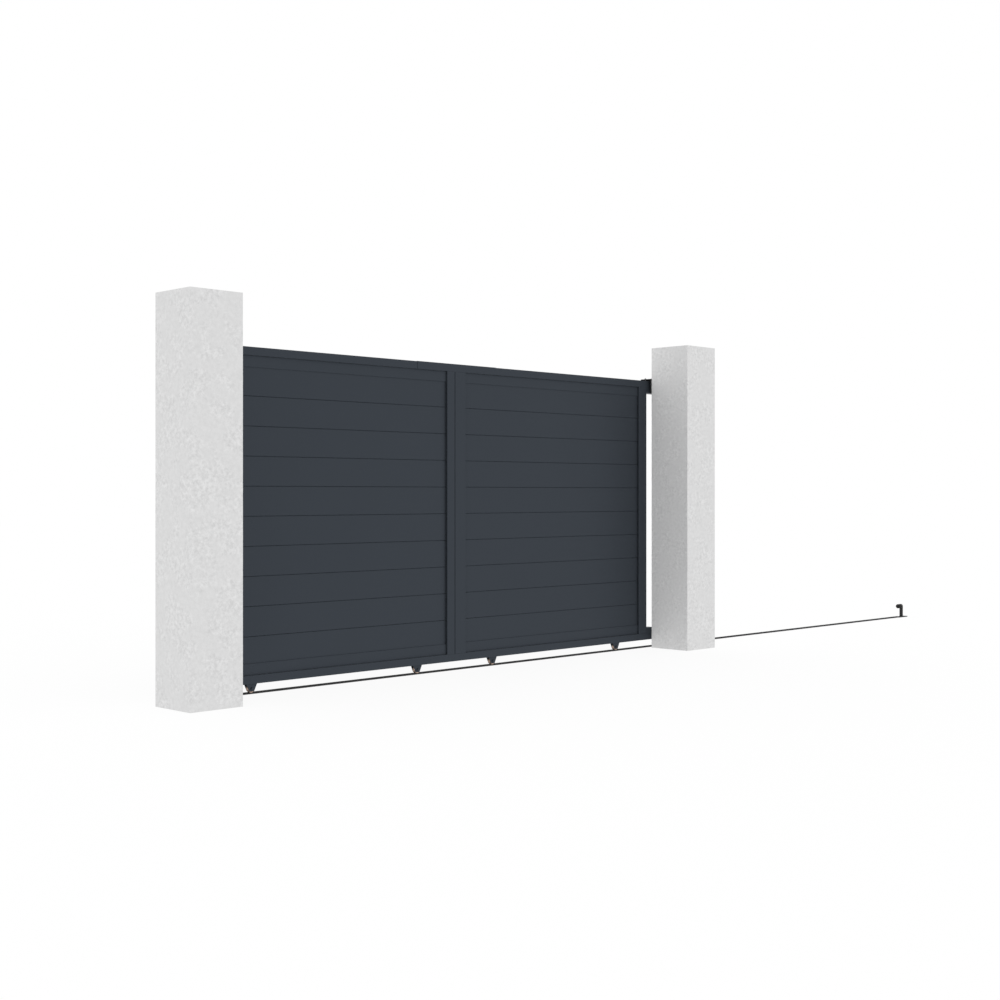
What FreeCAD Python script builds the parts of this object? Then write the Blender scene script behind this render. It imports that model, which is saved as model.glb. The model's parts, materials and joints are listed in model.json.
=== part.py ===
"""Sliding driveway gate: one leaf on a ground rail, behind two square rendered pillars.

Millimetres, Z up. X runs along the gate towards the side it opens to, Y runs from the
street into the drive. The origin is the centre of the left pillar's foot.
"""
import FreeCAD, Part
import math
import os

import Sketcher

SLAT_ROWS = 10

SIZES = (
    # Pillars and the way between them
    ("pillar_width", 300, "side of each square pillar"),
    ("pillar_height", 2000, "pillar height above the ground"),
    ("pillar_arris", 1, "rounding of the pillars' upright corners"),
    ("way_width", 3500, "clear way between the pillars"),
    # Leaf
    ("leaf_gap", 22, "free space between the pillars' backs and the leaf"),
    ("leaf_depth", 44, "thickness of the leaf's frame"),
    ("leaf_bottom", 53, "underside of the leaf above the ground"),
    ("leaf_lap", 42.6, "reach of the closed leaf behind the left pillar"),
    ("leaf_shy", 25.6, "gap along the way between the leaf's far end and the right pillar"),
    ("way_kept", 286.6, "part of the way that the open leaf still covers"),
    ("band", 43.5, "height of the top and bottom rails"),
    ("wall", 2.5, "wall of the frame tubes"),
    ("tube_arris", 1.5, "rounding of the frame tubes' long edges"),
    ("end_stile", 79, "width of the two outer stiles"),
    ("seam_stile_left", 63, "width of the stile left of the seam"),
    ("seam_stile_right", 84, "width of the stile right of the seam"),
    ("seam_gap", 3.5, "open joint between the two stiles at the seam"),
    ("seam_rib", 12, "width of the rib that spaces those stiles"),
    ("splice_reach_left", 295, "reach of the top splice to the left of the seam"),
    ("splice_reach_right", 335, "reach of the top splice to the right of the seam"),
    ("splice_step", 1.5, "rise of the top splice over the top rails"),
    ("splice_gap", 3, "open joint between the top splice and the left top rail"),
    ("spigot_reach", 40, "reach of the splice's spigot into the left top rail"),
    # Infill
    ("infill_band", 59, "height of the channels that hold the lowest and the topmost slats"),
    ("infill_depth", 24, "thickness of those channels"),
    ("slat_pitch", 154.5, "cover height of one slat"),
    ("slat_depth", 16, "thickness of a slat"),
    ("slat_wall", 1.6, "wall of a slat"),
    ("slat_seat", 15, "depth that the lowest slat stands in its channel"),
    ("head_cover", 6, "depth that the topmost slat reaches into its channel"),
    ("head_room", 2, "free room over the topmost slat's tongue"),
    ("slat_bevel", 2, "bevel on a slat's edges, two of which make the joint line"),
    ("slat_reveal", 0.6, "open joint between two slats' shoulders"),
    ("tongue_width", 6, "width of a slat's tongue"),
    ("tongue_rise", 8, "height of a slat's tongue"),
    ("slat_bite", 15, "depth that a slat's ends reach into the stiles"),
    ("stile_play", 3, "open joint between a slat's face and a stile's lip"),
    ("fit", 0.3, "clearance round what slots into a channel"),
    ("cut_run", 1, "run of a cut past each face that it goes through"),
    # Running gear
    ("wheel_radius", 20.5, "outer radius of a wheel"),
    ("groove_depth", 4.3, "depth of the groove in a wheel's tread"),
    ("rim_width", 16, "width of a wheel's rim"),
    ("rim_inside", 12, "inner radius of a wheel's rim"),
    ("disc_width", 7, "thickness of a wheel's disc"),
    ("hub_radius", 8, "radius of a wheel's hub"),
    ("axle_radius", 4, "radius of a wheel's axle"),
    ("axle_reach", 3, "reach of an axle past its carrier on each side"),
    ("axle_play", 0.05, "radial running clearance on an axle"),
    ("rolling_gap", 0.3, "gap between a tread and the bead it rolls on"),
    ("end_wheel_left", 330.6, "first wheel from the leaf's left end"),
    ("seam_wheel_left", 284.9, "second wheel from the seam"),
    ("seam_wheel_right", 319.4, "third wheel from the seam"),
    ("end_wheel_right", 300.4, "fourth wheel from the leaf's far end"),
    ("fork_gap", 19, "space between the two cheeks of a wheel carrier"),
    ("fork_sheet", 2.5, "sheet thickness of a wheel carrier"),
    ("fork_length", 66, "length of a wheel carrier down to the leaf's underside"),
    ("fork_tip", 29, "length of a wheel carrier at its tip"),
    ("fork_low", 13, "tip of a wheel carrier above the ground"),
    ("fork_round", 6, "rounding of a wheel carrier's tip"),
    ("slot_margin", 6, "free length of the wheel slot at each end of a carrier"),
    # Ground rail
    ("rail_lap", 50, "reach of the ground rail behind the left pillar"),
    ("rail_length", 3500, "length of the ground rail's first piece"),
    ("rail_foot", 22, "width of the ground rail's foot"),
    ("rail_sheet", 4, "thickness of the ground rail's foot"),
    ("bead_radius", 7, "radius of the ground rail's bead"),
    # End stop
    ("stop_foot_sheet", 6, "thickness of the end stop's foot"),
    ("stop_foot_length", 133, "length of the end stop's foot"),
    ("stop_foot_width", 40, "width of the end stop's foot"),
    ("stop_foot_lead", 61, "reach of that foot before the post's face"),
    ("stop_post_width", 27, "width of the end stop's post"),
    ("stop_post_depth", 8, "thickness of that post"),
    ("buffer_middle", 92, "middle of the rubber buffer above the ground"),
    ("buffer_radius", 17, "radius of the rubber buffer"),
    ("buffer_length", 56, "length of the rubber buffer"),
    ("buffer_round", 5, "rounding of the buffer's face"),
    # Tails
    ("tail_rise", 81, "height of the leaf's two tails"),
    ("top_tail_length", 120, "length of the guided tail at the top"),
    ("nose_length", 65, "length of the nose that meets the buffer"),
    # Top guide
    ("guide_lead", 5, "reach of the guide bracket into the way"),
    ("guide_length", 120, "length of the guide bracket"),
    ("guide_sheet", 4, "sheet thickness of the guide bracket"),
    ("guide_lift", 10, "free height between the leaf and the guide bracket"),
    ("guide_drop", 91, "depth of the guide bracket's cheeks"),
    ("guide_inset", 31, "first rollers from the left end of the guide bracket"),
    ("guide_spacing", 60, "distance between the two pairs of rollers"),
    ("roller_radius", 8, "radius of a guide roller"),
    ("roller_length", 40, "length of a guide roller"),
    ("roller_gap", 0.5, "gap between a guide roller and the leaf"),
    ("pin_radius", 4, "radius of a guide roller's pin"),
    ("pin_head_radius", 7, "radius of a guide pin's head"),
    ("pin_head", 6, "height of a guide pin's head"),
    # Closing catch
    ("catch_reach", 58, "length of the catch's cheeks"),
    ("catch_inset", 4, "open end of the catch inside the left pillar's side"),
    ("catch_sheet", 4, "sheet thickness of the catch"),
    ("catch_rise", 200, "height of the catch"),
    ("catch_low", 900, "lower end of the catch above the ground"),
    ("catch_pad_width", 28, "width of the catch's rubber pad"),
    ("catch_pad_rise", 100, "height of the catch's rubber pad"),
    ("rest_gap", 0.6, "gap between the leaf and the pad or buffer that it stops at"),
)

DERIVED = (
    ("way_start", "pillar_width / 2"),
    ("way_end", "way_start + way_width"),
    ("leaf_start", "way_start - leaf_lap"),
    ("half_length", "(way_width + leaf_lap - leaf_shy) / 2"),
    ("leaf_front", "pillar_width / 2 + leaf_gap"),
    ("leaf_middle", "leaf_front + leaf_depth / 2"),
    ("leaf_back", "leaf_front + leaf_depth"),
    ("field_rise", "%d * slat_pitch - slat_seat - head_cover" % SLAT_ROWS),
    ("stile_rise", "field_rise + 2 * infill_band"),
    ("leaf_top", "leaf_bottom + stile_rise + 2 * band"),
    ("leaf_end", "leaf_start + 2 * half_length"),
    ("seam", "leaf_start + half_length"),
    ("stile_foot", "leaf_bottom + band"),
    ("field_left", "half_length - end_stile - seam_stile_left"),
    ("field_right", "half_length - end_stile - seam_stile_right"),
    ("field_left_start", "leaf_start + end_stile"),
    ("field_right_start", "seam + seam_stile_right"),
    ("slat_foot", "stile_foot + infill_band - slat_seat"),
    ("groove_width", "slat_depth + 2 * fit"),
    ("tread_radius", "wheel_radius - groove_depth"),
    ("bead_top", "rail_sheet + bead_radius"),
    ("axle_height", "bead_top + rolling_gap + tread_radius"),
    ("fork_width", "fork_gap + 2 * fork_sheet"),
    ("hub_width", "fork_gap - 2 * fit"),
    ("fork_top", "leaf_bottom + band - wall"),
    ("guide_underside", "leaf_top + guide_lift"),
    ("guide_back", "leaf_back + leaf_gap - guide_sheet"),
    ("travel", "way_end - way_kept - leaf_start"),
    ("buffer_face", "leaf_end + nose_length + travel + rest_gap"),
    ("stop_face", "buffer_face + buffer_length"),
    ("stop_start", "stop_face - stop_foot_lead"),
    ("rail_start", "way_start - rail_lap"),
    ("rail_joint", "rail_start + rail_length"),
    ("guide_start", "way_end - guide_lead"),
    ("catch_end", "way_start - catch_inset"),
)


def column_cell(row, letter="B"):
    return letter + str(row + 1)


def fill_sheet(doc):
    """The driving sizes, then what follows from them, each under its own name."""
    sheet = doc.addObject("Spreadsheet::Sheet", "Sizes")
    for row, (alias, value, meaning) in enumerate(SIZES):
        cell = column_cell(row)
        sheet.set(column_cell(row, "A"), meaning)
        sheet.set(cell, str(value))
        sheet.setAlias(cell, alias)
    for row, (alias, formula) in enumerate(DERIVED, len(SIZES) + 1):
        cell = column_cell(row)
        sheet.set(column_cell(row, "A"), "follows from the sizes above")
        sheet.set(cell, "=" + formula)
        sheet.setAlias(cell, alias)
    doc.recompute()
    return sheet


doc = FreeCAD.newDocument("sliding_gate")
sizes = fill_sheet(doc)
NAMES = sorted([row[0] for row in SIZES] + [row[0] for row in DERIVED], key=len, reverse=True)
parts = []


def bound(formula):
    """Write the sheet's name before every size that a formula uses."""
    words = []
    word = ""
    for letter in str(formula) + " ":
        if letter.isalnum() or letter == "_" or (letter == "." and word.replace(".", "").isdigit()):
            word += letter
            continue
        words.append("Sizes." + word if word in NAMES else word)
        words.append(letter)
        word = ""
    return "".join(words).strip()


def place(piece, across="0", along="0", up="0", turn=None):
    """Put a piece where three formulas say, after a turn about an axis in degrees."""
    if turn:
        piece.Placement = FreeCAD.Placement(FreeCAD.Vector(0, 0, 0), FreeCAD.Rotation(*turn))
    for axis, formula in zip("xyz", (across, along, up)):
        piece.setExpression("Placement.Base." + axis, bound(formula))


def new_body(name):
    body = doc.addObject("PartDesign::Body", name)
    body.Label = name
    return body


def keep(piece, name=None):
    """Count a piece as one of the gate's own sub-parts."""
    if name:
        piece.Label = name
    parts.append(piece)
    return piece


def plane_of(body, role):
    return next(item for item in body.Origin.OriginFeatures if item.Role == role)


def new_sketch(body, role, name="Profile"):
    sketch = body.newObject("Sketcher::SketchObject", body.Name + name)
    sketch.AttachmentSupport = (plane_of(body, role), [""])
    sketch.MapMode = "FlatFace"
    return sketch


def pin_point(sketch, item, end, point):
    """Hold one point of a sketch at two formulas from the sketch's origin."""
    for kind, formula in zip(("DistanceX", "DistanceY"), point):
        index = sketch.addConstraint(Sketcher.Constraint(kind, -1, 1, item, end, 1.0))
        sketch.setExpression("Constraints[%d]" % index, bound(formula))


def draw_outline(sketch, corners):
    """A closed outline of straight runs whose corners are pairs of formulas."""
    first = sketch.GeometryCount
    count = len(corners)
    spread = [FreeCAD.Vector(100, 0, 0)]
    turn = FreeCAD.Rotation(FreeCAD.Vector(0, 0, 1), 360.0 / count)
    while len(spread) < count:
        spread.append(turn.multVec(spread[-1]))
    for index in range(count):
        sketch.addGeometry(Part.LineSegment(spread[index], spread[(index + 1) % count]), False)
    for index in range(count):
        following = first + (index + 1) % count
        sketch.addConstraint(Sketcher.Constraint("Coincident", first + index, 2, following, 1))
    for index, corner in enumerate(corners):
        pin_point(sketch, first + index, 1, corner)


def rectangle(left, low, right, high):
    return [(left, low), (right, low), (right, high), (left, high)]


def draw_circle(sketch, middle, radius):
    item = sketch.addGeometry(Part.Circle(FreeCAD.Vector(1, 1, 0), FreeCAD.Vector(0, 0, 1), 5), False)
    pin_point(sketch, item, 3, middle)
    index = sketch.addConstraint(Sketcher.Constraint("Radius", item, 5))
    sketch.setExpression("Constraints[%d]" % index, bound(radius))


def pad(body, sketch, length, name="Pad", midplane=False, backwards=False):
    feature = body.newObject("PartDesign::Pad", body.Name + name)
    feature.Profile = sketch
    feature.setExpression("Length", bound(length))
    feature.SideType = "Symmetric" if midplane else "One side"
    feature.Reversed = backwards
    return feature


def pocket(body, sketch, length, name="Pocket", midplane=True, backwards=False):
    """Cut a sketch out of a body, and make sure that it takes material away."""
    doc.recompute()
    before = body.Shape.Volume
    feature = body.newObject("PartDesign::Pocket", body.Name + name)
    feature.Profile = sketch
    feature.setExpression("Length", bound(length))
    feature.SideType = "Symmetric" if midplane else "One side"
    feature.Reversed = backwards
    doc.recompute()
    if body.Shape.Volume >= before:
        raise RuntimeError(feature.Name + " cuts nothing")
    return feature


def long_edges(shape, direction, pick):
    """Names of the straight edges along one direction whose middle passes the test."""
    found = []
    for index, edge in enumerate(shape.Edges, 1):
        if not isinstance(edge.Curve, (Part.Line, Part.LineSegment)):
            continue
        run = edge.Vertexes[-1].Point - edge.Vertexes[0].Point
        if abs(run.normalize().dot(direction)) > 0.999 and pick(edge.CenterOfMass):
            found.append("Edge%d" % index)
    return found


def on_corners(shape, first, second):
    """A test for points on the four outermost corners, seen along the third axis."""
    box = shape.BoundBox
    spans = {"x": (box.XMin, box.XMax), "y": (box.YMin, box.YMax), "z": (box.ZMin, box.ZMax)}

    def outermost(point):
        return all(min(abs(getattr(point, axis) - limit) for limit in spans[axis]) < 0.01
                   for axis in (first, second))
    return outermost


def round_edges(body, radius, direction, pick, name="Round"):
    doc.recompute()
    base = body.Tip
    feature = body.newObject("PartDesign::Fillet", body.Name + name)
    feature.Base = (base, long_edges(base.Shape, direction, pick))
    feature.setExpression("Radius", bound(radius))
    return feature


ALONG_X = FreeCAD.Vector(1, 0, 0)
ALONG_Y = FreeCAD.Vector(0, 1, 0)
ALONG_Z = FreeCAD.Vector(0, 0, 1)


def make_pillar(name, across):
    body = new_body(name)
    sketch = new_sketch(body, "XY_Plane")
    side = "pillar_width / 2"
    draw_outline(sketch, rectangle("-" + side, "-" + side, side, side))
    pad(body, sketch, "pillar_height")
    doc.recompute()
    round_edges(body, "pillar_arris", ALONG_Z, on_corners(body.Tip.Shape, "x", "y"))
    place(body, across)
    keep(body)


def make_tube(name, start, length, low, rise, depth="leaf_depth"):
    """A square-cornered tube along the leaf, its long edges a little rounded."""
    body = new_body(name)
    sketch = new_sketch(body, "YZ_Plane")
    draw_outline(sketch, rectangle("-(%s) / 2" % depth, "0", "(%s) / 2" % depth, rise))
    draw_outline(sketch, rectangle("-(%s) / 2 + wall" % depth, "wall",
                                   "(%s) / 2 - wall" % depth, "(%s) - wall" % rise))
    pad(body, sketch, length)
    doc.recompute()
    round_edges(body, "tube_arris", ALONG_X, on_corners(body.Tip.Shape, "y", "z"))
    place(body, start, "leaf_middle", low)
    return body


def close_end(body, place_of_plate, rise):
    """Close a tube across the leaf's depth by a plate that is let into its walls."""
    sketch = new_sketch(body, "YZ_Plane", "EndPlate")
    sketch.setExpression("AttachmentOffset.Base.z", bound(place_of_plate))
    draw_outline(sketch, rectangle("-leaf_depth / 2 + wall / 2", "wall / 2",
                                   "leaf_depth / 2 - wall / 2", "(%s) - wall / 2" % rise))
    pad(body, sketch, "wall", "EndPad")


def make_top_rails():
    """The two top rails and the raised splice that joins them over the seam."""
    left = make_tube("top_rail_left", "leaf_start", "half_length - splice_reach_left - splice_gap",
                     "leaf_top - band", "band")
    close_end(left, "0", "band")
    keep(left)
    keep(make_tube("top_rail_right", "seam + splice_reach_right", "half_length - splice_reach_right",
                   "leaf_top - band", "band"))
    splice = make_tube("top_splice", "seam - splice_reach_left", "splice_reach_left + splice_reach_right",
                       "leaf_top - band", "band + splice_step")
    close_end(splice, "0", "band + splice_step")
    spigot = new_sketch(splice, "YZ_Plane", "Spigot")
    side = "(leaf_depth / 2 - wall - fit)"
    draw_outline(spigot, rectangle("-" + side, "wall + fit", side, "band - wall - fit"))
    pad(splice, spigot, "splice_gap + spigot_reach", "SpigotPad", backwards=True)
    keep(splice)


def make_bottom_rail(name, start, wheel_places, closed=False):
    """A bottom rail: a tube with a slot in its underside for each wheel carrier."""
    body = make_tube(name, start, "half_length", "leaf_bottom", "band")
    if closed:
        close_end(body, "0", "band")
    sketch = new_sketch(body, "XY_Plane", "Slots")
    reach = "(fork_length / 2 + slot_margin)"
    side = "(fork_width / 2 + fit / 2)"
    for middle in wheel_places:
        draw_outline(sketch, rectangle("%s - %s" % (middle, reach), "-" + side,
                                       "%s + %s" % (middle, reach), side))
    pocket(body, sketch, "2 * (wall + cut_run)", "SlotCut")
    keep(body)


def make_stile(name, width, across, turned=False):
    """A stile: a tube with a channel along its inner side for the slats' ends."""
    body = new_body(name)
    sketch = new_sketch(body, "XY_Plane")
    half = "leaf_depth / 2"
    lip = "(slat_depth / 2 + stile_play)"
    bed = "%s - slat_bite - fit" % width
    draw_outline(sketch, [("0", "-" + half), (width, "-" + half), (width, "-" + lip), (bed, "-" + lip),
                          (bed, lip), (width, lip), (width, half), ("0", half)])
    draw_outline(sketch, rectangle("wall", "-%s + wall" % half, bed + " - wall", half + " - wall"))
    pad(body, sketch, "stile_rise")
    doc.recompute()
    round_edges(body, "tube_arris", ALONG_Z, on_corners(body.Tip.Shape, "x", "y"))
    place(body, across, "leaf_middle", "stile_foot", (ALONG_Z, 180) if turned else None)
    keep(body)
    return body


def make_seam_stiles():
    """The two stiles at the seam, kept apart by a rib on the right one."""
    make_stile("seam_stile_left", "(seam_stile_left - seam_gap)", "seam - seam_gap", turned=True)
    right = make_stile("seam_stile_right", "seam_stile_right", "seam")
    rib = new_sketch(right, "XY_Plane", "Rib")
    draw_outline(rib, rectangle("-seam_gap", "-seam_rib / 2", "wall / 2", "seam_rib / 2"))
    pad(right, rib, "stile_rise", "RibPad")


def make_infill_rail(name, start, length, depth_of_channel, level, turned=False):
    """A channel between two stiles that holds the lowest or the topmost slat."""
    body = new_body(name)
    sketch = new_sketch(body, "YZ_Plane")
    half = "infill_depth / 2"
    lip = "groove_width / 2"
    bed = "infill_band - (%s)" % depth_of_channel
    draw_outline(sketch, [("-" + half, "0"), (half, "0"), (half, "infill_band"), (lip, "infill_band"),
                          (lip, bed), ("-" + lip, bed), ("-" + lip, "infill_band"),
                          ("-" + half, "infill_band")])
    draw_outline(sketch, rectangle("-%s + wall" % half, "wall", half + " - wall", bed + " - wall"))
    pad(body, sketch, length)
    place(body, start, "leaf_middle", level, (ALONG_X, 180) if turned else None)
    keep(body)


def make_slat(name, start, length, row):
    """One hollow slat: tongue up, groove down, bevelled where it meets the next.

    A slat rests on the tongue below it, so that a thin joint stays open between their shoulders.
    """
    body = new_body(name)
    sketch = new_sketch(body, "YZ_Plane")
    face = "slat_depth / 2"
    flat = "slat_depth / 2 - slat_bevel"
    slot = "tongue_width / 2 + fit"
    slot_top = "tongue_rise"
    shoulder = "slat_pitch - slat_reveal"
    tongue = "tongue_width / 2"
    tip = "slat_pitch + tongue_rise"
    right_half = [(slot, slot_top), (slot, "0"), (flat, "0"), (face, "slat_bevel"),
                  (face, shoulder + " - slat_bevel"), (flat, shoulder), (tongue, shoulder),
                  (tongue, tip)]
    left_half = [("-(%s)" % side, level) for side, level in reversed(right_half)]
    draw_outline(sketch, right_half + left_half)
    inside = face + " - slat_wall"
    floor = slot_top + " + slat_wall"
    web_low = "slat_pitch / 2 - slat_wall / 2"
    web_high = "slat_pitch / 2 + slat_wall / 2"
    roof = shoulder + " - slat_bevel - slat_wall"
    draw_outline(sketch, rectangle("-(%s)" % inside, floor, inside, web_low))
    draw_outline(sketch, rectangle("-(%s)" % inside, web_high, inside, roof))
    pad(body, sketch, "%s + 2 * slat_bite" % length)
    place(body, "%s - slat_bite" % start, "leaf_middle", "slat_foot + %d * slat_pitch" % row)
    return body


def make_slat_row(row):
    """The two slats of one row, one in each half of the leaf."""
    name = "slat_row_%02d" % (row + 1)
    pair = [make_slat(name + "_left", "field_left_start", "field_left", row),
            make_slat(name + "_right", "field_right_start", "field_right", row)]
    together = doc.addObject("Part::Compound", name)
    together.Links = pair
    keep(together, name)


def make_tail(name, length, low):
    """A stub of tube on the leaf's far end, closed by a plate."""
    body = make_tube(name, "leaf_end", length, low, "tail_rise")
    close_end(body, "%s - wall" % length, "tail_rise")
    keep(body)


def make_carrier(name, across):
    """A wheel carrier: a folded sheet with two tapered cheeks, open below."""
    body = new_body(name)
    sketch = new_sketch(body, "XZ_Plane")
    top = "fork_length / 2"
    tip = "fork_tip / 2"
    draw_outline(sketch, [("-" + top, "fork_top"), ("-" + top, "leaf_bottom"), ("-" + tip, "fork_low"),
                          (tip, "fork_low"), (top, "leaf_bottom"), (top, "fork_top")])
    pad(body, sketch, "fork_width", midplane=True)
    doc.recompute()
    low = body.Tip.Shape.BoundBox.ZMin
    round_edges(body, "fork_round", ALONG_Y, lambda point: abs(point.z - low) < 0.01)
    inside = new_sketch(body, "YZ_Plane", "Inside")
    draw_outline(inside, rectangle("-fork_gap / 2", "0", "fork_gap / 2", "fork_top - fork_sheet"))
    pocket(body, inside, "fork_length + 2 * cut_run", "InsideCut")
    hole = new_sketch(body, "XZ_Plane", "AxleHole")
    draw_circle(hole, ("0", "axle_height"), "axle_radius + axle_play")
    pocket(body, hole, "fork_width + 2 * cut_run", "AxleCut")
    place(body, across, "leaf_middle")
    keep(body)


def make_wheel(name, across):
    """A turned wheel with a round groove that fits over the ground rail's bead."""
    body = new_body(name)
    sketch = new_sketch(body, "XY_Plane")
    bore = "axle_radius + axle_play"
    rim = "rim_width / 2"
    hub = "hub_width / 2"
    disc = "disc_width / 2"
    upper = [(bore, hub), ("hub_radius", hub), ("hub_radius", disc), ("rim_inside", disc),
             ("rim_inside", rim), ("wheel_radius", rim)]
    lower = [(radius, "-" + level) for radius, level in reversed(upper)]
    draw_outline(sketch, upper + lower)
    turned = body.newObject("PartDesign::Revolution", body.Name + "Turning")
    turned.Profile = sketch
    turned.ReferenceAxis = (sketch, ["V_Axis"])
    turned.Angle = 360
    doc.recompute()
    before = body.Shape.Volume
    groove_sketch = new_sketch(body, "XY_Plane", "Groove")
    draw_circle(groove_sketch, ("tread_radius + bead_radius + rolling_gap", "0"),
                "bead_radius + rolling_gap")
    groove = body.newObject("PartDesign::Groove", body.Name + "Tread")
    groove.Profile = groove_sketch
    groove.ReferenceAxis = (groove_sketch, ["V_Axis"])
    groove.Angle = 360
    doc.recompute()
    if body.Shape.Volume >= before:
        raise RuntimeError(name + " has no groove")
    place(body, across, "leaf_middle", "axle_height")
    keep(body)


def make_rod(name, radius, length, across, along, up, turn=None):
    rod = doc.addObject("Part::Cylinder", name)
    rod.Label = name
    rod.setExpression("Radius", bound(radius))
    rod.setExpression("Height", bound(length))
    place(rod, across, along, up, turn)
    return rod


def make_axles(wheel_places):
    axles = [make_rod("axle_%d" % index, "axle_radius", "fork_width + 2 * axle_reach", across,
                      "leaf_middle + fork_width / 2 + axle_reach", "axle_height", (ALONG_X, 90))
             for index, across in enumerate(wheel_places, 1)]
    together = doc.addObject("Part::Compound", "wheel_axles")
    together.Links = axles
    keep(together, "wheel_axles")


def make_ground_rail(name, start, end):
    """One length of rail: a flat foot with a half-round bead along its middle."""
    body = new_body(name)
    sketch = new_sketch(body, "YZ_Plane")
    draw_outline(sketch, rectangle("-rail_foot / 2", "0", "rail_foot / 2", "rail_sheet"))
    pad(body, sketch, "%s - %s" % (end, start))
    bead = new_sketch(body, "YZ_Plane", "Bead")
    radius = sizes.bead_radius
    middle = FreeCAD.Vector(0, sizes.rail_sheet, 0)
    circle = Part.Circle(middle, FreeCAD.Vector(0, 0, 1), radius)
    arc = bead.addGeometry(Part.ArcOfCircle(circle, 0.0, math.pi), False)
    left = FreeCAD.Vector(-radius, sizes.rail_sheet, 0)
    low_left = FreeCAD.Vector(-radius, 0, 0)
    low_right = FreeCAD.Vector(radius, 0, 0)
    right = FreeCAD.Vector(radius, sizes.rail_sheet, 0)
    sides = [bead.addGeometry(Part.LineSegment(*ends), False)
             for ends in ((left, low_left), (low_left, low_right), (low_right, right))]
    bead.addConstraint(Sketcher.Constraint("Coincident", arc, 2, sides[0], 1))
    bead.addConstraint(Sketcher.Constraint("Coincident", sides[0], 2, sides[1], 1))
    bead.addConstraint(Sketcher.Constraint("Coincident", sides[1], 2, sides[2], 1))
    bead.addConstraint(Sketcher.Constraint("Coincident", sides[2], 2, arc, 1))
    pin_point(bead, sides[0], 1, ("-bead_radius", "rail_sheet"))
    pin_point(bead, sides[0], 2, ("-bead_radius", "0"))
    pin_point(bead, sides[1], 2, ("bead_radius", "0"))
    pin_point(bead, sides[2], 2, ("bead_radius", "rail_sheet"))
    level = bead.addConstraint(Sketcher.Constraint("DistanceY", -1, 1, arc, 3, sizes.rail_sheet))
    bead.setExpression("Constraints[%d]" % level, bound("rail_sheet"))
    pad(body, bead, "%s - %s" % (end, start), "BeadPad")
    place(body, start, "leaf_middle")
    keep(body)


def make_end_stop():
    """The stop at the rail's far end: a flat foot and a round-topped post on it."""
    body = new_body("end_stop")
    foot = new_sketch(body, "XY_Plane", "Foot")
    side = "stop_foot_width / 2"
    draw_outline(foot, rectangle("-stop_foot_lead", "-" + side, "stop_foot_length - stop_foot_lead", side))
    pad(body, foot, "stop_foot_sheet", "FootPad")
    post = new_sketch(body, "YZ_Plane", "Post")
    side = "stop_post_width / 2"
    draw_outline(post, rectangle("-" + side, "0", side, "buffer_middle"))
    pad(body, post, "stop_post_depth", "PostPad")
    crown = new_sketch(body, "YZ_Plane", "Crown")
    draw_circle(crown, ("0", "buffer_middle"), side)
    pad(body, crown, "stop_post_depth", "CrownPad")
    place(body, "stop_face", "leaf_middle")
    keep(body)


def make_buffer():
    buffer_rod = make_rod("buffer_rod", "buffer_radius", "buffer_length", "buffer_face",
                          "leaf_middle", "buffer_middle", (ALONG_Y, 90))
    doc.recompute()
    rounded = doc.addObject("Part::Fillet", "stop_buffer")
    rounded.Base = buffer_rod
    face = sizes.buffer_face
    rings = [index for index, edge in enumerate(buffer_rod.Shape.Edges, 1)
             if isinstance(edge.Curve, Part.Circle) and abs(edge.CenterOfMass.x - face) < 0.01]
    rounded.Edges = [(index, sizes.buffer_round, sizes.buffer_round) for index in rings]
    keep(rounded, "stop_buffer")


def make_guide():
    """An inverted channel over the leaf's top, with rollers on pins inside it."""
    body = new_body("guide_bracket")
    sketch = new_sketch(body, "YZ_Plane")
    front = "pillar_width / 2"
    back = "guide_back + guide_sheet"
    low = "guide_underside - guide_drop"
    draw_outline(sketch, [(front, low), (front + " + guide_sheet", low),
                          (front + " + guide_sheet", "guide_underside"), ("guide_back", "guide_underside"),
                          ("guide_back", low), (back, low), (back, "guide_underside + guide_sheet"),
                          (front, "guide_underside + guide_sheet")])
    pad(body, sketch, "guide_length")
    doc.recompute()
    holes = new_sketch(body, "XY_Plane", "PinHoles")
    rows = ("leaf_front - roller_gap - roller_radius", "leaf_back + roller_gap + roller_radius")
    columns = ("guide_inset", "guide_inset + guide_spacing")
    for row in rows:
        for column in columns:
            draw_circle(holes, (column, row), "pin_radius")
    holes.setExpression("AttachmentOffset.Base.z", bound("guide_underside + guide_sheet / 2"))
    pocket(body, holes, "guide_sheet + 2 * cut_run", "PinHoleCut")
    place(body, "guide_start")
    keep(body)
    pins = []
    rollers = []
    for index, (row, column) in enumerate([(row, column) for row in rows for column in columns], 1):
        across = "guide_start + " + column
        shank = make_rod("guide_shank_%d" % index, "pin_radius",
                         "roller_length + guide_lift / 2 + guide_sheet", across, row,
                         "guide_underside - guide_lift / 2 - roller_length")
        head = make_rod("guide_head_%d" % index, "pin_head_radius", "pin_head", across, row,
                        "guide_underside + guide_sheet")
        pin = doc.addObject("Part::Fuse", "guide_pin_%d" % index)
        pin.Base = shank
        pin.Tool = head
        pins.append(pin)
        roller = make_rod("guide_sleeve_%d" % index, "roller_radius", "roller_length", across, row,
                          "guide_underside - guide_lift / 2 - roller_length")
        bore = make_rod("guide_bore_%d" % index, "pin_radius + axle_play", "roller_length + 2 * cut_run",
                        across, row, "guide_underside - guide_lift / 2 - roller_length - cut_run")
        drilled = doc.addObject("Part::Cut", "guide_roller_%d" % index)
        drilled.Base = roller
        drilled.Tool = bore
        rollers.append(drilled)
    for name, pieces in (("guide_pins", pins), ("guide_rollers", rollers)):
        together = doc.addObject("Part::Compound", name)
        together.Links = pieces
        keep(together, name)


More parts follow.
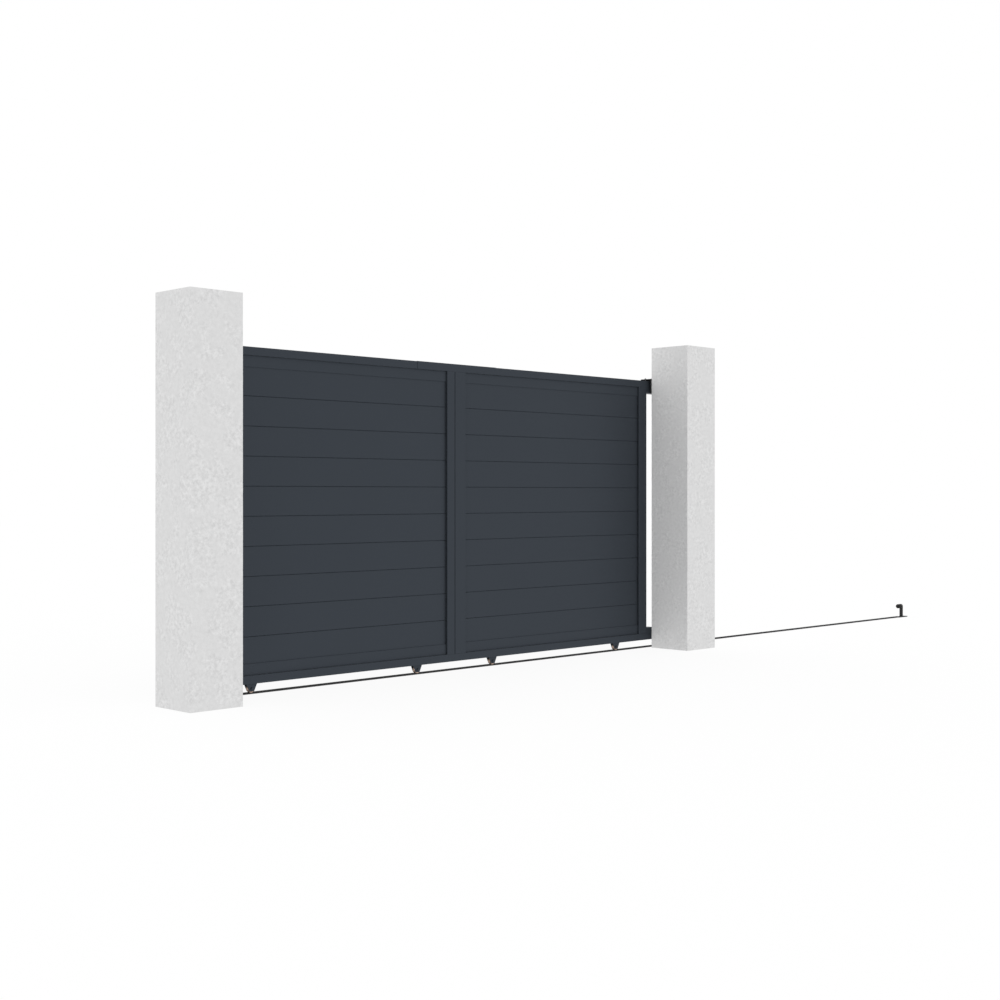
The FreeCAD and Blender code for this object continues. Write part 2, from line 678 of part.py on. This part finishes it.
def make_catch():
    """The closing catch: an upright channel that takes in the leaf's free end."""
    body = new_body("catch_bracket")
    sketch = new_sketch(body, "XY_Plane")
    front = "pillar_width / 2"
    back = "leaf_back + leaf_gap"
    heel = "catch_end - catch_reach"
    inner = heel + " + catch_sheet"
    draw_outline(sketch, [(heel, front), ("catch_end", front), ("catch_end", front + " + catch_sheet"),
                          (inner, front + " + catch_sheet"), (inner, back + " - catch_sheet"),
                          ("catch_end", back + " - catch_sheet"), ("catch_end", back), (heel, back)])
    pad(body, sketch, "catch_rise")
    place(body, "0", "0", "catch_low")
    keep(body)
    pad_block = doc.addObject("Part::Box", "catch_pad")
    pad_block.setExpression("Length", bound("leaf_start - rest_gap - (%s)" % inner))
    pad_block.setExpression("Width", bound("catch_pad_width"))
    pad_block.setExpression("Height", bound("catch_pad_rise"))
    place(pad_block, inner, "leaf_middle - catch_pad_width / 2",
          "catch_low + catch_rise / 2 - catch_pad_rise / 2")
    keep(pad_block, "catch_pad")


def check_and_export():
    """Refuse a failed feature or an open shape, then write one file for each part."""
    doc.recompute()
    failed = [item.Name for item in doc.Objects if {"Invalid", "Error"} & set(item.State)]
    if failed:
        raise RuntimeError("failed: " + ", ".join(failed))
    os.makedirs("parts", exist_ok=True)
    for piece in parts:
        if piece.Shape.isNull() or not piece.Shape.isValid() or not piece.Shape.Solids:
            raise RuntimeError(piece.Label + " has no valid shape")
    for piece in parts:
        piece.Shape.exportStep(os.path.join("parts", piece.Label + ".step"))
    print(len(parts), "parts")


make_pillar("left_pillar", "0")
make_pillar("right_pillar", "way_end + pillar_width / 2")
make_ground_rail("ground_rail_left", "rail_start", "rail_joint")
make_ground_rail("ground_rail_right", "rail_joint", "stop_start")
make_end_stop()
make_buffer()
make_guide()
make_catch()

make_top_rails()
make_bottom_rail("bottom_rail_left", "leaf_start", ("end_wheel_left", "half_length - seam_wheel_left"),
                 closed=True)
make_bottom_rail("bottom_rail_right", "seam", ("seam_wheel_right", "half_length - end_wheel_right"))
make_stile("end_stile_left", "end_stile", "leaf_start")
make_seam_stiles()
make_stile("end_stile_right", "end_stile", "leaf_end", turned=True)
HEAD = "head_cover + tongue_rise + head_room"
for side in ("left", "right"):
    start = "field_%s_start" % side
    field = "field_" + side
    make_infill_rail("bottom_infill_rail_" + side, start, field, "slat_seat", "stile_foot")
    make_infill_rail("top_infill_rail_" + side, start, field, HEAD, "leaf_top - band", turned=True)
for row in range(SLAT_ROWS):
    make_slat_row(row)
make_tail("top_tail", "top_tail_length", "leaf_top - tail_rise")
make_tail("stop_nose", "nose_length", "leaf_bottom")
WHEELS = ("leaf_start + end_wheel_left", "seam - seam_wheel_left", "seam + seam_wheel_right",
          "leaf_end - end_wheel_right")
for index, across in enumerate(WHEELS, 1):
    make_carrier("wheel_carrier_%d" % index, across)
    make_wheel("wheel_%d" % index, across)
make_axles(WHEELS)
check_and_export()
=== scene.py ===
"""Looks of the sliding driveway gate: the finishes, the plaster's relief and the small fasteners.

Metres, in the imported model's own frame: X along the gate, Y into the drive, Z up.
"""

import json
import math

import bmesh
import bpy
from mathutils import Matrix, Vector, noise


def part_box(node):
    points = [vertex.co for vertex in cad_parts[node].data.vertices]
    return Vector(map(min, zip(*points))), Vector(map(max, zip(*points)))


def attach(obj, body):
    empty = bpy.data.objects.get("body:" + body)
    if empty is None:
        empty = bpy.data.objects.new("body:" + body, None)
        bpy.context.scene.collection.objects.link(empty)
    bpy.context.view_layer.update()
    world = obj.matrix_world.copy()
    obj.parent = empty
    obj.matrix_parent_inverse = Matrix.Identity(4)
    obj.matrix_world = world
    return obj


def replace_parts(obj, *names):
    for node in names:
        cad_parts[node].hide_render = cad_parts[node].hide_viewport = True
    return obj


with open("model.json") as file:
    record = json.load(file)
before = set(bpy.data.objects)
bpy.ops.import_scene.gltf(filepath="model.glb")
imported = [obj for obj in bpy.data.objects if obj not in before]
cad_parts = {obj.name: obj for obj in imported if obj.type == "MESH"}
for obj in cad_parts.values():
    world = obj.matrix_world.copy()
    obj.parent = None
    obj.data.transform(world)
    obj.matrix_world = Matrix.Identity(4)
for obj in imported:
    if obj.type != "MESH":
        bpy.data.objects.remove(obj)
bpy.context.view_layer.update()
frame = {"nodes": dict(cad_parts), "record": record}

MM = 0.001

# Camera: level, in the street to the left, turned towards the leaf's seam
CAMERA_PLACE = (-3.9602, -5.9834, 1.0294)
CAMERA_HEADING = -45.186
CAMERA_LENS = 52.3555
CAMERA_SENSOR = 36
CAMERA_SHIFT = -0.00644
CAMERA_REACH = 200

# Light: an even white dome all round, and a pale floor that keeps a faint shadow
DOME_STRENGTH = 1.0
FLOOR_RADIUS = 60.0
FLOOR_SIDES = 96
FLOOR_DROP = 0.5 * MM
FLOOR_ALBEDO = 1.0
FLOOR_SHADOW_SHARE = 0.1

# Plastered pillars: the mesh's step and arris, how deep each kind of relief goes, and how much of it
# there is in a metre
PLASTER_STEP = 5.2 * MM
PLASTER_ARRIS = 1.2 * MM
PILLAR_TOP_RINGS = 24
WAVE_DEPTH = 0.4 * MM
WAVES = Vector((9, 9, 7))
RIDGE_DEPTH = 0.35 * MM
RIDGES = 32
RIDGE_NARROWING = 5
RIDGE_BENDS = 14
RIDGE_BEND = 20 * MM
WORKED_PATCHES = 6
PATCH_CONTRAST = 2.2
PIT_DEPTH = 0.25 * MM
PITS = Vector((85, 85, 60))
PIT_THRESHOLD = 0.12

# Bolts and nuts, all M8
BOLT_FLATS = 13 * MM
BOLT_FACE = 0.47 * BOLT_FLATS
BOLT_CHAMFER = 30
BOLT_HEAD = 5.3 * MM
NUT_HEIGHT = 1.2 * BOLT_HEAD
THREAD_RADIUS = 4 * MM
THREAD_PITCH = 1.25 * MM
WASHER_RADIUS = 8 * MM
WASHER_SHEET = 1.6 * MM

# Screws, rivets and welds
SCREW_RISE = 0.35 * MM
SCREW_RECESS = 0.5 * MM
RAIL_SCREW_STEP = 400 * MM
RIVET_RADIUS = 3.2 * MM
RIVET_RISE = 1.1 * MM
SEAT_SINK = 0.2 * MM
WELD_RADIUS = 2.2 * MM
WELD_RIPPLE = 1.6 * MM

# Largest turn between two faces that are shaded as one, in degrees
CAD_SMOOTH_TURN = 28
PIECE_SMOOTH_TURN = 35


def make_camera():
    data = bpy.data.cameras.new("camera")
    data.lens = CAMERA_LENS
    data.sensor_width = CAMERA_SENSOR
    data.shift_y = CAMERA_SHIFT
    data.clip_end = CAMERA_REACH
    camera = bpy.data.objects.new("camera", data)
    camera.location = CAMERA_PLACE
    camera.rotation_euler = (math.radians(90), 0, math.radians(CAMERA_HEADING))
    bpy.context.scene.collection.objects.link(camera)
    bpy.context.scene.camera = camera


def set_or_link(tree, socket, value):
    """Give a socket a value, or another node's socket to read."""
    if isinstance(value, bpy.types.NodeSocket):
        tree.links.new(value, socket)
    else:
        socket.default_value = value


def add_node(tree, kind, **inputs):
    """A shader node with some of its inputs set or linked, by their names."""
    made = tree.nodes.new(kind)
    for name, value in inputs.items():
        set_or_link(tree, made.inputs[name], value)
    return made


def math_node(tree, operation, *values):
    made = tree.nodes.new("ShaderNodeMath")
    made.operation = operation
    for socket, value in zip(made.inputs, values):
        set_or_link(tree, socket, value)
    return made.outputs[0]


def mix_shaders(tree, share, first, second):
    """The first shader, or the second where the share is 1."""
    mix = tree.nodes.new("ShaderNodeMixShader")
    tree.links.new(share, mix.inputs[0])
    tree.links.new(first.outputs[0], mix.inputs[1])
    tree.links.new(second.outputs[0], mix.inputs[2])
    return mix.outputs[0]


def seen_ray(tree):
    """1 for rays that show the background: from the camera, a reflection or a glass."""
    path = tree.nodes.new("ShaderNodeLightPath")
    mirrored = math_node(tree, "MAXIMUM", path.outputs["Is Glossy Ray"], path.outputs["Is Transmission Ray"])
    return math_node(tree, "MAXIMUM", path.outputs["Is Camera Ray"], mirrored)


def make_dome():
    world = bpy.data.worlds.new("dome")
    bpy.context.scene.world = world
    world.use_nodes = True
    tree = world.node_tree
    tree.nodes.clear()
    light = add_node(tree, "ShaderNodeBackground", Color=(1, 1, 1, 1), Strength=DOME_STRENGTH)
    backdrop = add_node(tree, "ShaderNodeBackground", Color=(1, 1, 1, 1), Strength=1.0)
    add_node(tree, "ShaderNodeOutputWorld", Surface=mix_shaders(tree, seen_ray(tree), light, backdrop))


def make_floor():
    """A pale floor that shows white to the camera where it is open, and keeps the gate's shadow."""
    mesh = bpy.data.meshes.new("floor")
    shape = bmesh.new()
    bmesh.ops.create_circle(shape, cap_ends=True, segments=FLOOR_SIDES, radius=FLOOR_RADIUS,
                            matrix=Matrix.Translation((0, 0, -FLOOR_DROP)))
    shape.to_mesh(mesh)
    shape.free()
    floor = bpy.data.objects.new("floor", mesh)
    bpy.context.scene.collection.objects.link(floor)
    material = bpy.data.materials.new("floor")
    material.use_nodes = True
    tree = material.node_tree
    tree.nodes.clear()
    pale = (FLOOR_ALBEDO, FLOOR_ALBEDO, FLOOR_ALBEDO, 1)
    plain = add_node(tree, "ShaderNodeBsdfDiffuse", Color=pale)
    open_floor = FLOOR_ALBEDO * DOME_STRENGTH
    glow_share = 1 - FLOOR_SHADOW_SHARE
    glow = add_node(tree, "ShaderNodeEmission", Color=(1, 1, 1, 1),
                    Strength=(1 - FLOOR_SHADOW_SHARE * open_floor) / glow_share)
    path = tree.nodes.new("ShaderNodeLightPath")
    share = math_node(tree, "MULTIPLY", path.outputs["Is Camera Ray"], glow_share)
    add_node(tree, "ShaderNodeOutputMaterial", Surface=mix_shaders(tree, share, plain, glow))
    mesh.materials.append(material)
    floor.visible_diffuse = False
    floor.visible_glossy = False
    floor.visible_transmission = False
    floor.visible_shadow = False


def noise_field(tree, grains, detail=2.0, warp=0.0):
    """A noise with so many grains per metre, in the model's own coordinates."""
    where = tree.nodes.new("ShaderNodeTexCoord").outputs["Object"]
    field = add_node(tree, "ShaderNodeTexNoise", Vector=where, Scale=grains, Detail=detail, Distortion=warp)
    return field.outputs[0]


def layered_noise(tree, layers):
    """Noises added round one half. A layer is (grains per metre, weight, detail)."""
    total = 0.5 - sum(weight for grains, weight, detail in layers) / 2
    for grains, weight, detail in layers:
        total = math_node(tree, "MULTIPLY_ADD", noise_field(tree, grains, detail), weight, total)
    return total


def map_range(tree, value, low, high, first, last):
    """First at the low value and last at the high one, with a smooth way between them."""
    made = tree.nodes.new("ShaderNodeMapRange")
    made.interpolation_type = "SMOOTHSTEP"
    tree.links.new(value, made.inputs["Value"])
    for name, limit in (("From Min", low), ("From Max", high), ("To Min", first), ("To Max", last)):
        made.inputs[name].default_value = limit
    return made.outputs[0]


def strokes(tree, grains, width, warp):
    """Thin wandering lines, where a noise passes through its middle value."""
    field = noise_field(tree, grains, warp=warp)
    away = math_node(tree, "ABSOLUTE", math_node(tree, "SUBTRACT", field, 0.5))
    return map_range(tree, away, 0.0, width, 1.0, 0.0)


def two_tones(tree, amount, colour, spread):
    """The colour, darker or lighter by the spread as the amount goes from 0 to 1."""
    ramp = add_node(tree, "ShaderNodeValToRGB", Fac=amount)
    for element, factor in zip(ramp.color_ramp.elements, (1 - spread, 1 + spread)):
        element.color = [channel * factor for channel in colour] + [1]
    return ramp.outputs[0]


def new_finish(name):
    material = bpy.data.materials.new(name + "_finish")
    material.use_nodes = True
    return material, material.node_tree, material.node_tree.nodes["Principled BSDF"]


def give_relief(tree, shader, height, depth):
    bump = add_node(tree, "ShaderNodeBump", Height=height, Distance=depth, Strength=1.0)
    tree.links.new(bump.outputs[0], shader.inputs["Normal"])


def finish(name, colour, spread, tone, relief, depth, roughness, rough_spread, metallic=0.0, specular=0.5):
    """A material whose tone, relief and roughness all come from layered noises."""
    material, tree, shader = new_finish(name)
    amount = layered_noise(tree, tone)
    tree.links.new(two_tones(tree, amount, colour, spread), shader.inputs["Base Color"])
    give_relief(tree, shader, layered_noise(tree, relief), depth)
    rough = math_node(tree, "MULTIPLY_ADD", amount, 2 * rough_spread, roughness - rough_spread)
    tree.links.new(rough, shader.inputs["Roughness"])
    shader.inputs["Metallic"].default_value = metallic
    shader.inputs["Specular IOR Level"].default_value = specular
    return material


def plaster():
    """Floated mineral render: even in tone, with short wandering ridges that are stronger in patches."""
    stroke_mean = 0.35
    stroke_weight = 0.3
    material, tree, shader = new_finish("plaster")
    patches = map_range(tree, noise_field(tree, 9, detail=1.0, warp=0.4), 0.40, 0.60, 0.35, 1.0)
    lines = math_node(tree, "SUBTRACT", strokes(tree, 34, width=0.08, warp=1.6), stroke_mean)
    worms = layered_noise(tree, ((52, 1.7, 1), (120, 0.8, 1)))
    worked = math_node(tree, "MULTIPLY_ADD", lines, stroke_weight, math_node(tree, "SUBTRACT", worms, 0.5))
    broad = layered_noise(tree, ((16, 0.15, 1),))
    amount = math_node(tree, "MULTIPLY_ADD", worked, patches, broad)
    tree.links.new(two_tones(tree, amount, (0.699, 0.699, 0.700), 0.105), shader.inputs["Base Color"])
    fine = layered_noise(tree, ((90, 0.3, 3), (320, 0.5, 4)))
    give_relief(tree, shader, math_node(tree, "ADD", worked, fine), 0.35 * MM)
    shader.inputs["Roughness"].default_value = 0.94
    shader.inputs["Specular IOR Level"].default_value = 0.1
    return material


def powder_coat():
    """Anthracite powder coat with metal flakes and a fine, even texture."""
    return finish("powder_coat", (0.0447, 0.0523, 0.0633), 0.05,
                  tone=((2.5, 0.5, 1), (900, 0.6, 2)), relief=((700, 1.0, 2),), depth=0.05 * MM,
                  roughness=0.42, rough_spread=0.04, metallic=0.4, specular=0.02)


def dark_steel():
    """Black painted steel, a little dusty."""
    return finish("dark_steel", (0.0390, 0.0390, 0.0400), 0.25,
                  tone=((6, 0.6, 3), (300, 0.5, 3)), relief=((500, 1.0, 3),), depth=0.08 * MM,
                  roughness=0.68, rough_spread=0.08, specular=0.1)


def zinc_steel():
    """Bright zinc plate with soft clouding."""
    return finish("zinc_steel", (0.52, 0.53, 0.54), 0.16,
                  tone=((120, 0.7, 3), (900, 0.5, 2)), relief=((600, 1.0, 2),), depth=0.03 * MM,
                  roughness=0.38, rough_spread=0.1, metallic=1.0)


def wheel_steel():
    """Turned steel wheels with a warm passivated film."""
    return finish("wheel_steel", (0.48, 0.36, 0.29), 0.22,
                  tone=((60, 0.8, 4), (700, 0.5, 3)), relief=((500, 1.0, 3),), depth=0.06 * MM,
                  roughness=0.45, rough_spread=0.1, metallic=0.7)


def rubber():
    """Black rubber with a moulded grain."""
    return finish("rubber", (0.014, 0.014, 0.014), 0.25,
                  tone=((40, 0.6, 3), (800, 0.5, 2)), relief=((900, 1.0, 3),), depth=0.12 * MM,
                  roughness=0.78, rough_spread=0.06, specular=0.25)


def nylon():
    """Black moulded nylon."""
    return finish("nylon", (0.018, 0.018, 0.019), 0.15,
                  tone=((80, 0.6, 2),), relief=((1200, 1.0, 2),), depth=0.03 * MM,
                  roughness=0.42, rough_spread=0.05, specular=0.45)


def shade(mesh, turn):
    """Soft shading, but for the edges where the faces turn by more than so many degrees."""
    mesh.shade_smooth()
    mesh.set_sharp_from_angle(angle=math.radians(turn))


def dress_nodes(finishes):
    """Give every node of the model the finish of its slot, with soft shading on round faces."""
    for row in frame["record"]["subparts"]:
        mesh = frame["nodes"][row["node"]].data
        mesh.materials.clear()
        mesh.materials.append(finishes[row["material_slot"]])
        mesh.polygons.foreach_set("material_index", [0] * len(mesh.polygons))
        shade(mesh, CAD_SMOOTH_TURN)


def add_piece(name, shape, body, slot):
    """Put a finished shape in the scene as a piece that rides on a body and has a slot's finish."""
    mesh = bpy.data.meshes.new(name)
    bmesh.ops.recalc_face_normals(shape, faces=shape.faces)
    shape.to_mesh(mesh)
    shape.free()
    mesh.materials.append(FINISHES[slot])
    shade(mesh, PIECE_SMOOTH_TURN)
    piece = bpy.data.objects.new(name, mesh)
    bpy.context.scene.collection.objects.link(piece)
    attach(piece, body)
    return piece


def rounded_square(half, radius, step):
    """Points round a square with rounded corners, each with its outward direction."""
    flat = half - radius
    count = max(2, round(2 * flat / step))
    ring = []
    for side in range(4):
        turn = Matrix.Rotation(math.radians(90 * side), 2)
        for index in range(count):
            along = -flat + 2 * flat * index / count
            ring.append((turn @ Vector((half, along)), turn @ Vector((1, 0))))
        for angle in (0, 30, 60):
            outward = turn @ Vector((math.cos(math.radians(angle)), math.sin(math.radians(angle))))
            middle = turn @ Vector((flat, flat))
            ring.append((middle + outward * radius, outward))
    return ring


def plaster_depth(point):
    """How far the plaster lies back at a point: long waves, ridges left by the float, and small pits."""
    wave = max(-1, min(1, noise.fractal(point * WAVES, 0.9, 2.2, 3)))
    worked = min(1.0, max(0.0, 0.5 + PATCH_CONTRAST * noise.noise(point * WORKED_PATCHES)))
    bend = Vector((RIDGE_BEND, RIDGE_BEND, RIDGE_BEND)) * noise.noise(point * RIDGE_BENDS)
    ridge = max(0.0, 1 - RIDGE_NARROWING * abs(noise.noise((point + bend) * RIDGES)))
    pit = max(0.0, noise.noise(point * PITS) - PIT_THRESHOLD)
    return WAVE_DEPTH * (0.5 + 0.5 * wave) + RIDGE_DEPTH * (1 - ridge * worked) + PIT_DEPTH * pit


def join_loops(shape, lower, upper):
    """A band of faces between two closed loops of as many points."""
    count = len(lower)
    for index in range(count):
        following = (index + 1) % count
        shape.faces.new((lower[index], lower[following], upper[following], upper[index]))


def make_pillar(node):
    """A rendered pillar over its plain solid: walls that wave by under a millimetre, and a flat top."""
    low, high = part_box(node)
    middle = (low + high) / 2
    ring = rounded_square((high.x - low.x) / 2, PLASTER_ARRIS, PLASTER_STEP)
    rows = round((high.z - low.z) / PLASTER_STEP)
    shape = bmesh.new()
    loops = []
    for row in range(rows + 1):
        level = low.z + (high.z - low.z) * row / rows
        loop = []
        for flat, outward in ring:
            point = Vector((middle.x + flat.x, middle.y + flat.y, level))
            inward = Vector((outward.x, outward.y, 0)) * -plaster_depth(point)
            loop.append(shape.verts.new(point + inward))
        loops.append(loop)
    for ring_number in range(1, PILLAR_TOP_RINGS):
        share = 1 - ring_number / PILLAR_TOP_RINGS
        loop = []
        for flat, outward in ring:
            point = Vector((middle.x + flat.x * share, middle.y + flat.y * share, high.z))
            point.z -= min(1.0, ring_number / 2) * plaster_depth(point)
            loop.append(shape.verts.new(point))
        loops.append(loop)
    for lower, upper in zip(loops, loops[1:]):
        join_loops(shape, lower, upper)
    shape.faces.new(list(reversed(loops[0])))
    shape.faces.new(loops[-1])
    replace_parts(add_piece("plastered_" + node, shape, "root", "plaster"), node)


def towards(direction, point):
    """A place whose own Z runs along a direction."""
    turn = Vector(direction).to_track_quat("Z", "Y").to_matrix().to_4x4()
    return Matrix.Translation(point) @ turn


def spin(shape, place, rings, sides=48):
    """A closed solid from rings of (reach, level), each a number or a function of the angle."""
    loops = []
    for reach, level in rings:
        loop = []
        for index in range(sides):
            angle = math.tau * index / sides
            out = reach(angle) if callable(reach) else reach
            up = level(angle) if callable(level) else level
            loop.append(shape.verts.new(place @ Vector((out * math.cos(angle), out * math.sin(angle), up))))
        loops.append(loop)
    for lower, upper in zip(loops, loops[1:]):
        join_loops(shape, lower, upper)
    shape.faces.new(list(reversed(loops[0])))
    shape.faces.new(loops[-1])


def hexagon(shape, place, start, height):
    """A nut or a bolt head, its corners turned down to a round face."""
    sixth = math.pi / 3

    def edge(angle):
        return BOLT_FLATS / 2 / math.cos((angle + sixth / 2) % sixth - sixth / 2)

    def upper(angle):
        return start + height - (edge(angle) - BOLT_FACE) * math.tan(math.radians(BOLT_CHAMFER))

    spin(shape, place, ((BOLT_FLATS / 2, start), (edge, start + height / 12), (edge, upper),
                        (BOLT_FACE, start + height)))


def washer(shape, place):
    ease = WASHER_SHEET / 4
    flat = WASHER_RADIUS - ease
    spin(shape, place, ((flat, 0), (WASHER_RADIUS, ease), (WASHER_RADIUS, WASHER_SHEET - ease),
                        (flat, WASHER_SHEET)))


def threaded_end(shape, place, start, length):
    """The end of a stud: ridges of thread and a turned-down tip."""
    root = THREAD_RADIUS - 0.6 * THREAD_PITCH
    turns = max(1, int(length / THREAD_PITCH) - 1)
    rings = [(THREAD_RADIUS, start)]
    for turn in range(turns):
        level = start + (turn + 0.5) * THREAD_PITCH
        rings += [(root, level), (THREAD_RADIUS, level + THREAD_PITCH / 2)]
    rings.append((root * 0.9, start + length))
    spin(shape, place, rings, 32)


def bolt_head(shape, place):
    washer(shape, place)
    hexagon(shape, place, WASHER_SHEET, BOLT_HEAD)


def nut_on_stud(shape, place, spare):
    """A washer, a nut and the stud's end, which stands a spare length past the nut's inside."""
    washer(shape, place)
    hexagon(shape, place, WASHER_SHEET, NUT_HEIGHT)
    threaded_end(shape, place, WASHER_SHEET + BOLT_HEAD * 1.1, spare)


def rivet(shape, place):
    """A low dome with the broken mandrel's dimple in it."""
    profile = ((1.0, -SEAT_SINK), (1.0, 0.15 * MM), (0.9, 0.55 * RIVET_RISE), (0.65, 0.9 * RIVET_RISE),
               (0.38, RIVET_RISE), (0.34, 0.7 * RIVET_RISE))
    spin(shape, place, [(share * RIVET_RADIUS, level) for share, level in profile], 24)


def countersunk(shape, place, radius):
    """A screw head that stands a little above its seat, with a recess across it."""

    def recess(angle):
        return radius * (0.62 if math.cos(4 * angle) > 0.4 else 0.3)

    spin(shape, place, ((radius, -SEAT_SINK), (radius, SCREW_RISE * 0.6), (0.86 * radius, SCREW_RISE),
                        (recess, SCREW_RISE), (recess, SCREW_RISE - SCREW_RECESS)), 32)


def weld(shape, start, end):
    """A rippled bead laid in a corner from one point to another."""
    run = end - start
    ripples = max(3, int(run.length / WELD_RIPPLE))
    tip = WELD_RADIUS * 0.35
    rings = [(tip, 0.0)]
    for index in range(1, 2 * ripples):
        swell = 1.0 if index % 2 else 0.86
        uneven = 1 + 0.08 * noise.noise(start * 400 + Vector((index, 0, 0)) * 0.37)
        rings.append((WELD_RADIUS * swell * uneven, run.length * index / (2 * ripples)))
    rings.append((tip, run.length))
    spin(shape, towards(run, start), rings, 12)


def fasten_axles():
    """A bolt head in front of each wheel carrier and a nut behind it."""
    spare = 3 * MM
    shape = bmesh.new()
    for number in range(1, 5):
        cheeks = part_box("wheel_carrier_%d" % number)
        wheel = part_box("wheel_%d" % number)
        middle = (wheel[0] + wheel[1]) / 2
        bolt_head(shape, towards((0, -1, 0), Vector((middle.x, cheeks[0].y, middle.z))))
        nut_on_stud(shape, towards((0, 1, 0), Vector((middle.x, cheeks[1].y, middle.z))), spare)
    add_piece("axle_bolts", shape, "leaf", "powder_coat")


def fasten_end_stop():
    """Four countersunk ground screws, the nut that holds the buffer, and the weld round the post's foot."""
    foot_sheet = 6 * MM
    post_sheet = 8 * MM
    post_side = 13.5 * MM
    screw_radius = 5 * MM
    screw_inset = 14 * MM
    screw_side_inset = 9 * MM
    spare = 7 * MM
    low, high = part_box("end_stop")
    buffer_low, buffer_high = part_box("stop_buffer")
    middle = (low + high) / 2
    post_face = buffer_high.x
    post_back = post_face + post_sheet
    foot_top = low.z + foot_sheet
    shape = bmesh.new()
    for across in (low.x + screw_inset, high.x - screw_inset):
        for along in (low.y + screw_side_inset, high.y - screw_side_inset):
            countersunk(shape, towards((0, 0, 1), Vector((across, along, foot_top))), screw_radius)
    stud = Vector((post_back, middle.y, (buffer_low.z + buffer_high.z) / 2))
    nut_on_stud(shape, towards((1, 0, 0), stud), spare)
    plan = ((post_face, -post_side), (post_back, -post_side), (post_back, post_side), (post_face, post_side))
    corners = [Vector((across, middle.y + side, foot_top)) for across, side in plan]
    for corner, following in zip(corners, corners[1:] + corners[:1]):
        weld(shape, corner, following)
    add_piece("end_stop_fixings", shape, "root", "dark_steel")


def fasten_guide():
    """Nuts under the guide rollers, their studs' upper ends, and the bolts that hold the bracket."""
    roller_radius = 8 * MM
    bracket_sheet = 4 * MM
    anchor_rise = 18 * MM
    anchor_drop = 22 * MM
    spare = 4 * MM
    low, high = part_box("guide_rollers")
    bracket_low, bracket_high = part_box("guide_bracket")
    pins_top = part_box("guide_pins")[1].z
    columns = (low.x + roller_radius, high.x - roller_radius)
    shape = bmesh.new()
    for across in columns:
        for along in (low.y + roller_radius, high.y - roller_radius):
            nut_on_stud(shape, towards((0, 0, -1), Vector((across, along, low.z))), spare)
            threaded_end(shape, towards((0, 0, 1), Vector((across, along, pins_top))), 0, spare)
    add_piece("guide_nuts", shape, "root", "zinc_steel")
    shape = bmesh.new()
    for level in (bracket_low.z + anchor_rise, bracket_high.z - anchor_drop):
        at = Vector((sum(columns) / 2, bracket_low.y + bracket_sheet, level))
        bolt_head(shape, towards((0, 1, 0), at))
    add_piece("guide_anchors", shape, "root", "dark_steel")


def fasten_catch():
    """The bolts that hold the catch to the left pillar."""
    bracket_sheet = 4 * MM
    anchor_inset = 24 * MM
    anchor_rise = 30 * MM
    low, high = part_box("catch_bracket")
    shape = bmesh.new()
    for level in (low.z + anchor_rise, high.z - anchor_rise):
        at = Vector((high.x - anchor_inset, low.y + bracket_sheet, level))
        bolt_head(shape, towards((0, 1, 0), at))
    add_piece("catch_anchors", shape, "root", "dark_steel")


def fasten_rail():
    """Countersunk screws down both edges of the ground rail's foot."""
    foot_sheet = 4 * MM
    screw_radius = 1.5 * MM
    edge_inset = 2 * MM
    end_inset = 40 * MM
    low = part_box("ground_rail_left")[0]
    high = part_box("ground_rail_right")[1]
    run = high.x - low.x - 2 * end_inset
    count = int(run / RAIL_SCREW_STEP)
    shape = bmesh.new()
    for index in range(count + 1):
        across = low.x + end_inset + run * index / count
        for along in (low.y + edge_inset, high.y - edge_inset):
            countersunk(shape, towards((0, 0, 1), Vector((across, along, foot_sheet))), screw_radius)
    add_piece("rail_screws", shape, "root", "dark_steel")


def rivet_back():
    """Blind rivets on the back of the leaf, where the stiles meet the rails."""
    rail_middle = 22 * MM
    low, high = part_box("bottom_rail_left")
    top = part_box("top_rail_left")[1].z
    shape = bmesh.new()
    for node in ("end_stile_left", "seam_stile_left", "seam_stile_right", "end_stile_right"):
        stile_low, stile_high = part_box(node)
        for share in (0.3, 0.7):
            across = stile_low.x + (stile_high.x - stile_low.x) * share
            for level in (low.z + rail_middle, top - rail_middle):
                rivet(shape, towards((0, 1, 0), Vector((across, high.y, level))))
    add_piece("leaf_rivets", shape, "leaf", "powder_coat")


make_camera()
make_dome()
make_floor()
FINISHES = {maker.__name__: maker() for maker in (plaster, powder_coat, dark_steel, zinc_steel, wheel_steel,
                                                  rubber, nylon)}
dress_nodes(FINISHES)
for pillar_node in ("left_pillar", "right_pillar"):
    make_pillar(pillar_node)
fasten_axles()
fasten_end_stop()
fasten_guide()
fasten_catch()
fasten_rail()
rivet_back()

scene = bpy.context.scene
scene.view_settings.view_transform = "Standard"
